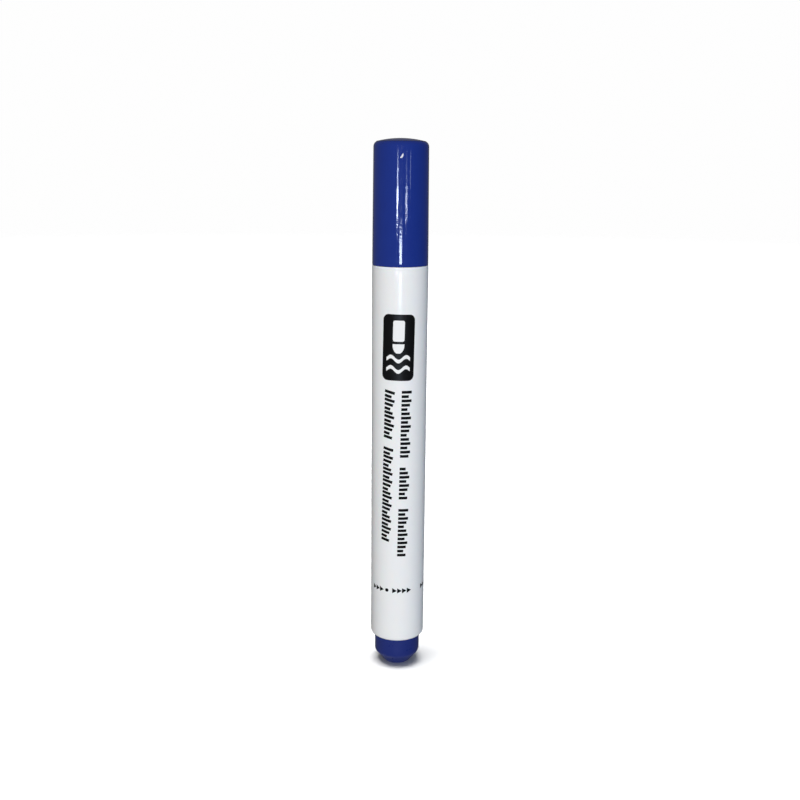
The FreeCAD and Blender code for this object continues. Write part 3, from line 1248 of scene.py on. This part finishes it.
@dataclass
class Print:
    """Black print on the barrel: a badge with a marker sign, two lines of ticks, and turn marks."""

    finishes: Finishes
    lift: float = 0.015 * MM
    badge_width: float = 8.5 * MM
    badge_height: float = 17.1 * MM
    badge_round: float = 1.5 * MM
    badge_middle: float = 89.45 * MM
    badge_angle: float = -2.1
    tick_thickness: float = 0.74 * MM
    ring_height: float = 23.1 * MM
    ring_mark: float = 1.7 * MM
    ring_dot: float = 0.5 * MM
    ring_dot_angle: float = -23
    ring_arrow_angles: tuple[float, ...] = (24, 13.5, 3, -7.5, -37, -47.5, -58)
    ring_groups: int = 3
    sign: Sign = Sign()
    lines: tuple[TickLine, ...] = (
        TickLine(
            "tick_line_right",
            top=78.45 * MM,
            top_angle=16.3,
            bottom=32.8 * MM,
            bottom_angle=9.4,
            across=2.7 * MM,
            groups=(8, 4, 6),
        ),
        TickLine(
            "tick_line_left",
            top=78.4 * MM,
            top_angle=-19.2,
            bottom=37.0 * MM,
            bottom_angle=-26.2,
            across=2.8 * MM,
            groups=(6, 12),
            lean=math.radians(12),
        ),
    )

    def __post_init__(self) -> None:
        """Measure the barrel and its print's slant."""
        self.radius = span("barrel")[2]
        line = self.lines[0]
        run = self.arc_length(line.top_angle - line.bottom_angle)
        self.slant = run / (line.top - line.bottom)
        self.wrapping = Wrapping(self.radius, self.lift)

    def arc_length(self, degrees: float) -> float:
        """Distance along the barrel's skin for an angle."""
        return self.radius * math.radians(degrees)

    def build(self) -> None:
        """Build and dress every printed mark."""
        self.build_badge()
        self.build_sign()
        for line in self.lines:
            self.build_line(line)
        self.build_ring()

    def finish_mark(self, piece: Object, offset: float, lift: float, ink: Material) -> None:
        """Wrap flat artwork, centred on its own middle, and turn it to its angle on the barrel.

        Args:
            piece: the artwork in edit mode, laid out about x = 0.
            offset: distance along the skin from the front line to the artwork's x = 0.
            lift: how far the ink stands off the barrel.
            ink: the ink's material.
        """
        edges = [vertex.co.x for vertex in bmesh.from_edit_mesh(piece.data).verts]
        middle = (min(edges) + max(edges)) / 2
        bpy.ops.mesh.select_all(action="SELECT")
        bpy.ops.transform.translate(value=(-middle, 0, 0))
        Wrapping(self.radius, lift).lay(piece)
        make_active(piece)
        piece.rotation_euler.z = (offset + middle) / self.radius
        bpy.ops.object.transform_apply(location=False, rotation=True, scale=False)
        dress(piece, Body.BARREL, Slot.BARREL, ink)

    def build_badge(self) -> None:
        """The black badge, a rectangle with four equal round corners."""
        centre = Vector((0, 0, self.badge_middle))
        lean = math.atan(self.slant)
        piece = start_flat("print_badge", centre, self.badge_width, self.badge_height, lean)
        bpy.ops.mesh.bevel(offset=self.badge_round, segments=10, profile=0.5, affect="VERTICES")
        self.finish_mark(piece, self.arc_length(self.badge_angle), self.lift, self.finishes.print_black)

    def build_sign(self) -> None:
        """The white sign on the badge."""
        centre = self.badge_middle
        body = Vector((0, 0, centre + self.sign.body_middle))
        piece = start_flat("print_sign", body, self.sign.body_width, self.sign.body_height)
        bpy.ops.mesh.bevel(offset=self.sign.body_round, segments=4, affect="VERTICES")
        self.add_bullet(Vector((0, 0, centre + self.sign.nib_top)))
        for drop in self.sign.wave_drops:
            self.add_wave(Vector((0, 0, centre - drop)))
        bpy.ops.mesh.select_all(action="SELECT")
        bpy.ops.transform.rotate(
            value=-math.atan(self.slant), orient_axis="Y", center_override=(0, 0, centre)
        )
        lift = self.lift + self.wrapping.film / 2
        self.finish_mark(piece, self.arc_length(self.badge_angle), lift, self.finishes.print_white)

    def add_bullet(self, top: Vector) -> None:
        """Add the sign's nib, a band that narrows to a blunt tip.

        Args:
            top: the middle of the nib's upper edge.
        """
        piece = bpy.context.object
        band = self.sign.nib_band
        add_tile(top - Vector((0, 0, band / 2)), self.sign.body_width, band)
        place = top.z - band
        pick_level_edge(piece, place)
        for drop, share in self.sign.nib_steps:
            bpy.ops.mesh.extrude_edges_move(TRANSFORM_OT_translate={"value": (0, 0, -drop)})
            place -= drop
            bpy.ops.transform.resize(value=(share, 1, 1), center_override=(top.x, 0, place))
        bpy.ops.mesh.select_all(action="DESELECT")

    def add_wave(self, middle: Vector) -> None:
        """Add one wavy stroke across the badge.

        Args:
            middle: the stroke's middle.
        """
        piece = bpy.context.object
        width, height, steps = self.sign.wave_width, self.sign.wave_stroke, self.sign.wave_steps
        pace = width / steps
        left = middle - Vector((width / 2, 0, 0))
        bpy.ops.mesh.select_all(action="DESELECT")
        add_tile(left, pace, height)
        pick_side_edge(piece, left + Vector((pace / 2, 0, 0)), height)
        level = 0.0
        for step in range(1, steps + 1):
            phase = FULL_TURN * step / steps * self.sign.wave_count
            next_level = self.sign.wave_swing * math.sin(phase)
            move = (pace, 0, next_level - level)
            bpy.ops.mesh.extrude_edges_move(TRANSFORM_OT_translate={"value": move})
            level = next_level
        bpy.ops.mesh.select_all(action="DESELECT")

    def build_line(self, line: TickLine) -> None:
        """One line of ticks, in groups with gaps between them.

        Args:
            line: where it runs and how its ticks are grouped.
        """
        units = sum(line.groups) + len(line.groups) - 1
        unit = (line.top - line.bottom) / units
        pace = unit / 2
        run = self.arc_length(line.top_angle - line.bottom_angle) / (line.top - line.bottom)
        piece = None
        height, count = line.top, 0
        for group in line.groups:
            for _ in range(2 * group):
                length = line.across * TICK_RHYTHM[count % len(TICK_RHYTHM)]
                middle = height - pace / 2
                base = run * (middle - line.top) - line.across / 2
                centre = Vector((base + length / 2, 0, middle))
                lean = math.atan(run) + line.lean
                if piece is None:
                    piece = start_flat(line.name, centre, length, self.tick_thickness, lean)
                else:
                    add_tile(centre, length, self.tick_thickness, lean)
                height -= pace
                count += 1
            height -= unit
        self.finish_mark(piece, self.arc_length(line.top_angle), self.lift, self.finishes.print_black)

    def build_ring(self) -> None:
        """Turn marks round the tail: small arrowheads in groups, with a dot between them."""
        half = self.ring_mark / 2
        for group in range(self.ring_groups):
            shift = 360 / self.ring_groups * group
            clear_selection()
            self.add_arrow(self.ring_arrow_angles[0], half)
            piece = bpy.context.object
            piece.name = piece.data.name = f"turn_marks_{group + 1}"
            bpy.ops.object.transform_apply(location=True, rotation=True, scale=True)
            bpy.ops.object.mode_set(mode="EDIT")
            for angle in self.ring_arrow_angles[1:]:
                self.add_arrow(angle, half)
            bpy.ops.mesh.primitive_circle_add(
                vertices=20,
                radius=self.ring_dot,
                fill_type="NGON",
                location=(self.arc_length(self.ring_dot_angle), 0, self.ring_height),
                rotation=(math.pi / 2, 0, 0),
            )
            self.finish_mark(piece, self.arc_length(shift), self.lift, self.finishes.print_black)

    def add_arrow(self, angle: float, half: float) -> None:
        """Add one arrowhead that points to the right.

        Args:
            angle: its place round the barrel, in degrees.
            half: half of its height.
        """
        bpy.ops.mesh.primitive_circle_add(
            vertices=3,
            radius=half,
            fill_type="NGON",
            location=(self.arc_length(angle), 0, self.ring_height),
            rotation=(math.pi / 2, math.radians(90), 0),
        )


def pick_level_edge(piece: Object, height: float) -> None:
    """Select the edges that lie at this height, in edit mode."""
    pick(piece, lambda co: abs(co.z - height) < NEAR, "EDGE")


def pick_side_edge(piece: Object, middle: Vector, length: float) -> None:
    """Select the upright edge about this middle, in edit mode."""
    reach = length / 2 + NEAR
    pick(piece, lambda co: abs(co.x - middle.x) < NEAR and abs(co.z - middle.z) < reach, "EDGE")


@dataclass
class Front:
    """The white nib holder between barrel and cap, and the felt nib."""

    finishes: Finishes
    flange_height: float = 0.5 * MM
    flange_round: float = 0.12 * MM
    skirt_length: float = 6.0 * MM
    skirt_radius: float = 6.22 * MM
    skirt_lead: float = 0.3 * MM
    hollow_radius: float = 5.1 * MM
    hollow_height: float = 9.3 * MM
    neck_radius: float = 6.05 * MM
    neck_height: float = 10.5 * MM
    band_radius: float = 6.2 * MM
    band_rise: float = 5.6 * MM
    band_height: float = 1.2 * MM
    band_lead: float = 0.4 * MM
    band_round: float = 0.2 * MM
    root_round: float = 0.15 * MM
    cone_round: float = 0.5 * MM
    nose_radius: float = 4.2 * MM
    nose_length: float = 5.5 * MM
    nose_round: float = 0.5 * MM
    nib_bore_radius: float = 2.48 * MM
    nib_bore_round: float = 0.08 * MM
    hollow_round: float = 0.3 * MM
    vent_depth: float = 0.4 * MM
    vent_width: float = 0.7 * MM
    vent_overrun: float = 1.0 * MM
    vent_count: int = 4
    nib_radius: float = 2.45 * MM
    nib_shoulder_drop: float = 3.1 * MM
    nib_tip_flat: float = 1.0 * MM
    nib_tip_round: float = 0.9 * MM
    nib_shoulder_round: float = 2.6 * MM
    nib_end_lead: float = 0.4 * MM
    nib_support: float = 3.0 * MM
    pole_radius: float = 0.2 * MM

    def build(self) -> None:
        """Build and dress the holder and the nib."""
        self.build_holder()
        self.build_nib()

    def build_holder(self) -> None:
        """The holder: skirt, flush flange, neck with its grip band, cone, nose and vented bore."""
        bottom, top, flange_radius = span("nib_holder")
        joint = bottom + self.skirt_length
        band = joint + self.band_rise
        hollow_top = joint + self.hollow_height
        corners = [
            Corner(self.hollow_radius, bottom),
            Corner(self.skirt_radius - self.skirt_lead, bottom),
            Corner(self.skirt_radius, bottom + self.skirt_lead),
            Corner(self.skirt_radius, joint),
            Corner(flange_radius, joint),
            Corner(flange_radius, joint + self.flange_height, self.flange_round, 4),
            Corner(self.neck_radius, joint + self.flange_height, self.root_round, 3),
            Corner(self.neck_radius, band),
            Corner(self.band_radius, band + self.band_lead, self.band_round, 3),
            Corner(self.band_radius, band + self.band_height - self.band_lead, self.band_round, 3),
            Corner(self.neck_radius, band + self.band_height),
            Corner(self.neck_radius, joint + self.neck_height, self.cone_round, 4),
            Corner(self.nose_radius, top - self.nose_length, self.cone_round, 4),
            Corner(self.nose_radius, top, self.nose_round, 6),
            Corner(self.nib_bore_radius, top, self.nib_bore_round, 2),
            Corner(self.nib_bore_radius, hollow_top),
            Corner(self.hollow_radius, hollow_top, self.hollow_round, 3),
        ]
        piece = turn_piece("holder_skin", corners)
        self.cut_vents(piece, hollow_top - self.vent_overrun, top + self.vent_overrun)
        dress(piece, Body.BARREL, Slot.HOLDER, self.finishes.holder_white, "nib_holder")

    def cut_vents(self, piece: Object, low: float, high: float) -> None:
        """Cut the air vents that run along the nib's bore.

        Args:
            piece: the holder.
            low: the cutters' lower end.
            high: their upper end.
        """
        reach = self.nib_bore_radius + self.vent_depth
        cutters = []
        for turn in range(self.vent_count // 2):
            clear_selection()
            bpy.ops.mesh.primitive_cube_add(size=1, location=(0, 0, (low + high) / 2))
            cutter = bpy.context.object
            cutter.scale = (2 * reach, self.vent_width, high - low)
            cutter.rotation_euler.z = FULL_TURN * turn / self.vent_count
            bpy.ops.object.transform_apply(location=True, rotation=True, scale=True)
            cutters.append(cutter)
        for cutter in cutters:
            vent = piece.modifiers.new("vent", "BOOLEAN")
            vent.operation = "DIFFERENCE"
            vent.solver = "EXACT"
            vent.object = cutter
            apply_modifiers(piece)
            bpy.data.objects.remove(cutter)

    def build_nib(self) -> None:
        """The felt nib: a long shank with a rounded bullet tip."""
        bottom, top, _ = span("nib")
        shoulder = top - self.nib_shoulder_drop
        corners = [
            Corner(self.pole_radius, bottom),
            Corner(self.nib_radius - self.nib_end_lead, bottom),
            Corner(self.nib_radius, bottom + self.nib_end_lead),
            Corner(self.nib_radius, shoulder - self.nib_support),
            Corner(self.nib_radius, shoulder, self.nib_shoulder_round, 8),
            Corner(self.nib_tip_flat, top, self.nib_tip_round, 8),
            Corner(self.pole_radius, top),
        ]
        piece = turn_piece("felt_nib", corners, closed=False)
        dress(piece, Body.BARREL, Slot.NIB, self.finishes.nib_felt, "nib")


@dataclass
class Tail:
    """The blue tail plug with its tapered foot and threaded spigot, and the seal ring."""

    finishes: Finishes
    thread: Thread
    foot_radius: float = 3.6 * MM
    foot_round: float = 0.35 * MM
    taper_height: float = 3.0 * MM
    taper_round: float = 2.0 * MM
    head_height: float = 8.6 * MM
    head_round: float = 0.15 * MM
    spigot_radius: float = 4.7 * MM
    spigot_lead: float = 0.3 * MM
    spigot_root: float = 0.15 * MM
    hollow_radius: float = 3.6 * MM
    hollow_floor: float = 2.0 * MM
    hollow_round: float = 1.2 * MM
    rim_round: float = 0.1 * MM
    ridge_start: float = 11.33 * MM
    ridge_turns: float = 1.0
    pole_radius: float = 0.3 * MM
    cord_points: int = 24
    flash: float = 0.03 * MM

    def build(self) -> None:
        """Build and dress the plug and the seal."""
        self.build_plug()
        self.build_seal()

    def build_plug(self) -> None:
        """The hollow plug, turned, with its ridge wound on."""
        bottom, top, head_radius = span("tail_plug")
        corners = [
            Corner(self.pole_radius, bottom + self.hollow_floor),
            Corner(self.hollow_radius, bottom + self.hollow_floor, self.hollow_round, 6),
            Corner(self.hollow_radius, top, self.rim_round, 2),
            Corner(self.spigot_radius - self.spigot_lead, top),
            Corner(self.spigot_radius, top - self.spigot_lead),
            Corner(self.spigot_radius, bottom + self.head_height, self.spigot_root, 3),
            Corner(head_radius, bottom + self.head_height, self.head_round, 4),
            Corner(head_radius, bottom + self.taper_height, self.taper_round, 10),
            Corner(self.foot_radius, bottom, self.foot_round, 6),
            Corner(self.pole_radius, bottom),
        ]
        piece = turn_piece("plug_skin", corners, closed=False)
        start = bottom + self.ridge_start
        ridge = self.thread.ridge("spigot_ridge", self.spigot_radius, False, start, self.ridge_turns)
        join_pieces(piece, [ridge])
        dress(piece, Body.PLUG, Slot.PLUG, self.finishes.plug_blue, "tail_plug")

    def build_seal(self) -> None:
        """The rubber ring, with the thin flash line of its mould inside and outside."""
        low, high, outer = span("plug_seal")
        cord = (high - low) / 2
        centre_radius, centre_height = outer - cord, (low + high) / 2
        profile = []
        for point in range(self.cord_points):
            angle = FULL_TURN * point / self.cord_points
            on_flash = point % (self.cord_points // 2) == 0
            reach = cord + (self.flash if on_flash else 0) - self.flash
            across, up = reach * math.cos(angle), reach * math.sin(angle)
            profile.append((centre_radius + across, centre_height + up))
        piece = TurnedPiece("seal_ring", profile).build()
        dress(piece, Body.SEAL, Slot.SEAL, self.finishes.seal_rubber, "plug_seal")


@dataclass
class Reservoir:
    """The ink reservoir inside the barrel, kept as the CAD made it."""

    finishes: Finishes

    def build(self) -> None:
        """Dress the fibre rod and its film."""
        dress_node("reservoir_core", self.finishes.ink_fibre)
        dress_node("reservoir_wrap", self.finishes.film_clear)


# ---------------------------------------------------------------- studio


STREAK_TINT = (0.72, 0.83, 1.0)
STREAK_DISTANCE = 0.9


class Reach(str, Enum):
    """What a light falls on: everything, the floor alone, or all but the floor."""

    ALL = "ALL"
    FLOOR = "INCLUDE"
    MARKER = "EXCLUDE"


@dataclass(frozen=True)
class Panel:
    """One area light, aimed at the marker.

    The bearing is degrees to the right of the front, and only says where round the marker it is.
    """

    name: str
    bearing: float
    distance: float
    height: float
    width: float
    tall: float
    power: float
    colour: Colour = (1.0, 1.0, 1.0)
    aim_height: float | None = None
    seen_in_gloss: bool = True
    lights_surfaces: bool = True
    reach: Reach = Reach.ALL

    def place(self, floor: Object) -> None:
        """Add the light.

        Args:
            floor: the studio's floor, which the light falls on or spares.
        """
        clear_selection()
        bearing = math.radians(self.bearing)
        across, ahead = math.sin(bearing), -math.cos(bearing)
        place = Vector((self.distance * across, self.distance * ahead, self.height))
        aim = Vector((0, 0, self.height if self.aim_height is None else self.aim_height))
        facing = (aim - place).to_track_quat("-Z", "Y").to_euler()
        bpy.ops.object.light_add(type="AREA", location=place, rotation=facing)
        lamp = bpy.context.object
        lamp.name = self.name
        lamp.data.shape = "RECTANGLE"
        lamp.data.size = self.width
        lamp.data.size_y = self.tall
        lamp.data.energy = self.power
        lamp.data.color = self.colour
        lamp.visible_glossy = self.seen_in_gloss
        lamp.visible_diffuse = self.lights_surfaces
        lamp.visible_camera = False
        if self.reach is not Reach.ALL:
            receivers = bpy.data.collections.new(f"{self.name}_receivers")
            receivers.objects.link(floor)
            lamp.light_linking.receiver_collection = receivers
            receivers.collection_objects[0].light_linking.link_state = self.reach.value


def streak(name: str, bearing: float, height: float, width: float, tall: float, power: float) -> Panel:
    """A small panel that shows only as a streak in the gloss of the cap.

    Args:
        name: the panel's name.
        bearing: degrees to the right of the front.
        height: its middle above the floor.
        width: its size across.
        tall: its size upwards.
        power: its power in watts.

    Returns:
        The panel.
    """
    return Panel(
        name, bearing, STREAK_DISTANCE, height, width, tall, power, STREAK_TINT, lights_surfaces=False
    )


@dataclass
class Studio:
    """Plain pale floor, soft light and the camera."""

    floor_radius: float = 3.0
    fade: tuple[float, float] = (0.5, 2.0)
    gloss_fade: tuple[float, float] = (0.004, 0.009)
    glow_reach: tuple[float, float] = (0.10, 0.45)
    glow: float = 0.85
    lens: float = 44.84
    camera_place: tuple[float, float, float] = (0.00026, -0.2568, 0.1341)
    tilt_down: float = 13.13
    roll: float = 0.53
    clip_start: float = 0.01
    backdrop: Colour = (0.99, 0.99, 0.99)
    room_left: Colour = (0.28, 0.28, 0.275)
    room_right: Colour = (0.24, 0.30, 0.39)
    gloss_left: Colour = (0.17, 0.17, 0.17)
    gloss_right: Colour = (0.08, 0.09, 0.11)
    room_turn: tuple[float, float] = (0.2, 0.95)
    paper: tuple[Colour, Colour] = ((0.86, 0.86, 0.86), (0.88, 0.88, 0.88))
    paper_grain: float = 400.0
    paper_roughness: float = 0.9
    paper_specular: float = 0.1
    panels: tuple[Panel, ...] = (
        Panel(
            "front_key",
            bearing=-3,
            distance=1.1,
            height=0.24,
            width=0.5,
            tall=0.5,
            power=10.2,
            aim_height=0.06,
            seen_in_gloss=False,
            reach=Reach.MARKER,
        ),
        Panel(
            "top_light",
            bearing=-75,
            distance=0.055,
            height=1.1,
            width=0.4,
            tall=0.6,
            power=18.6,
            aim_height=0.0,
            seen_in_gloss=False,
            reach=Reach.FLOOR,
        ),
        streak("strip_faint", bearing=-13.4, height=0.155, width=0.022, tall=0.03, power=0.05),
        streak("strip_upper", bearing=-13.4, height=0.110, width=0.09, tall=0.021, power=0.44),
        streak("strip_middle", bearing=-13.4, height=0.130, width=0.05, tall=0.022, power=0.10),
        streak("strip_lower", bearing=1.3, height=0.041, width=0.15, tall=0.068, power=0.93),
        streak("strip_right", bearing=22.7, height=0.108, width=0.12, tall=0.005, power=0.18),
        streak("strip_right_faint", bearing=22.7, height=0.138, width=0.02, tall=0.045, power=0.022),
        streak("strip_far", bearing=38.8, height=0.145, width=0.02, tall=0.045, power=0.025),
    )

    def build(self) -> None:
        """Set up the world, floor, lights and camera."""
        self.build_world()
        floor = self.build_floor()
        for panel in self.panels:
            panel.place(floor)
        self.build_camera()

    def build_world(self) -> None:
        """A white backdrop for the camera, a dim room for gloss and soft light for the rest."""
        world = bpy.data.worlds.new("studio_world")
        bpy.context.scene.world = world
        world.use_nodes = True
        tree = world.node_tree
        sky = tree.nodes["Background"]
        path = tree.nodes.new("ShaderNodeLightPath")
        place = tree.nodes.new("ShaderNodeTexCoord")
        split = tree.nodes.new("ShaderNodeSeparateXYZ")
        side = tree.nodes.new("ShaderNodeMapRange")
        for label, number in zip(("From Min", "From Max"), self.room_turn):
            side.inputs[label].default_value = number
        tree.links.new(place.outputs["Generated"], split.inputs["Vector"])
        tree.links.new(split.outputs["X"], side.inputs["Value"])
        soft = mix_colours(tree, side.outputs["Result"], self.room_left, self.room_right)
        gloss = mix_colours(tree, side.outputs["Result"], self.gloss_left, self.gloss_right)
        unseen = mix_colours(tree, path.outputs["Is Glossy Ray"], soft, gloss)
        colour = mix_colours(tree, path.outputs["Is Camera Ray"], unseen, self.backdrop)
        tree.links.new(colour, sky.inputs["Color"])

    def build_floor(self) -> Object:
        """A wide pale disc that fades into the backdrop, and casts no light back.

        Returns:
            The floor.
        """
        clear_selection()
        bpy.ops.mesh.primitive_circle_add(vertices=128, radius=self.floor_radius, fill_type="NGON")
        floor = bpy.context.object
        floor.name = floor.data.name = "studio_floor"
        floor.data.materials.append(self.floor_material())
        floor.visible_diffuse = False
        return floor

    def floor_material(self) -> Material:
        """Matt pale paper that thins out to nothing at the rim.

        Returns:
            The material.
        """
        material, shader = start_material("floor_paper")
        tree = material.node_tree
        place = tree.nodes.new("ShaderNodeTexCoord")
        reach = tree.nodes.new("ShaderNodeVectorMath")
        reach.operation = "LENGTH"
        tree.links.new(place.outputs["Object"], reach.inputs[0])
        path = tree.nodes.new("ShaderNodeLightPath")
        radius = reach.outputs["Value"]
        near = self.ramp(tree, radius, *self.fade, 1.0, 0.0)
        away = self.ramp(tree, radius, *self.gloss_fade, 0.0, 1.0)
        hidden = add_math(tree, "MULTIPLY", path.outputs["Is Glossy Ray"], away)
        shown = add_math(tree, "SUBTRACT", 1.0, hidden)
        tree.links.new(add_math(tree, "MULTIPLY", near, shown), shader.inputs["Alpha"])
        glow = self.ramp(tree, radius, *self.glow_reach, 0.0, 1.0)
        glow_colour = mix_colours(tree, glow, (0, 0, 0), (1, 1, 1))
        tree.links.new(glow_colour, shader.inputs["Emission Color"])
        shader.inputs["Emission Strength"].default_value = self.glow
        grain = add_noise(tree, self.paper_grain, 3.0)
        paper = mix_colours(tree, grain.outputs["Fac"], *self.paper)
        tree.links.new(paper, shader.inputs["Base Color"])
        shader.inputs["Roughness"].default_value = self.paper_roughness
        shader.inputs["Specular IOR Level"].default_value = self.paper_specular
        return material

    @staticmethod
    def ramp(
        tree: NodeTree, value: NodeSocket, start: float, end: float, low: float, high: float
    ) -> NodeSocket:
        """A smooth step between two values.

        Args:
            tree: the node tree.
            value: the socket that drives it.
            start: the input where it begins.
            end: the input where it ends.
            low: the output before it begins.
            high: the output after it ends.

        Returns:
            The ramp's output socket.
        """
        node = tree.nodes.new("ShaderNodeMapRange")
        node.interpolation_type = "SMOOTHSTEP"
        bounds = {"From Min": start, "From Max": end, "To Min": low, "To Max": high}
        for label, number in bounds.items():
            node.inputs[label].default_value = number
        tree.links.new(value, node.inputs["Value"])
        return node.outputs["Result"]

    def build_camera(self) -> None:
        """The camera, just above the marker's top and looking down a little."""
        clear_selection()
        bpy.ops.object.camera_add(location=self.camera_place)
        camera = bpy.context.object
        camera.name = "studio_camera"
        down = Matrix.Rotation(math.radians(90 - self.tilt_down), 3, "X")
        roll = Matrix.Rotation(math.radians(self.roll), 3, "Z")
        camera.rotation_euler = (down @ roll).to_euler()
        camera.data.lens = self.lens
        camera.data.clip_start = self.clip_start
        bpy.context.scene.camera = camera
        bpy.context.scene.view_settings.view_transform = "Standard"
        bpy.context.scene.view_settings.look = "None"


def main() -> None:
    """Build every sub-assembly in order and report it."""
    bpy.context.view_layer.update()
    finishes = Finishes(ShaderGroups())
    thread = Thread()
    for assembly in (
        Tail(finishes, thread),
        Barrel(finishes, thread),
        Print(finishes),
        Reservoir(finishes),
        Front(finishes),
        Cap(finishes),
        Studio(),
    ):
        assembly.build()
        log.info("built: %s", type(assembly).__name__)
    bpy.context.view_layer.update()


if __name__ == "__main__":
    main()
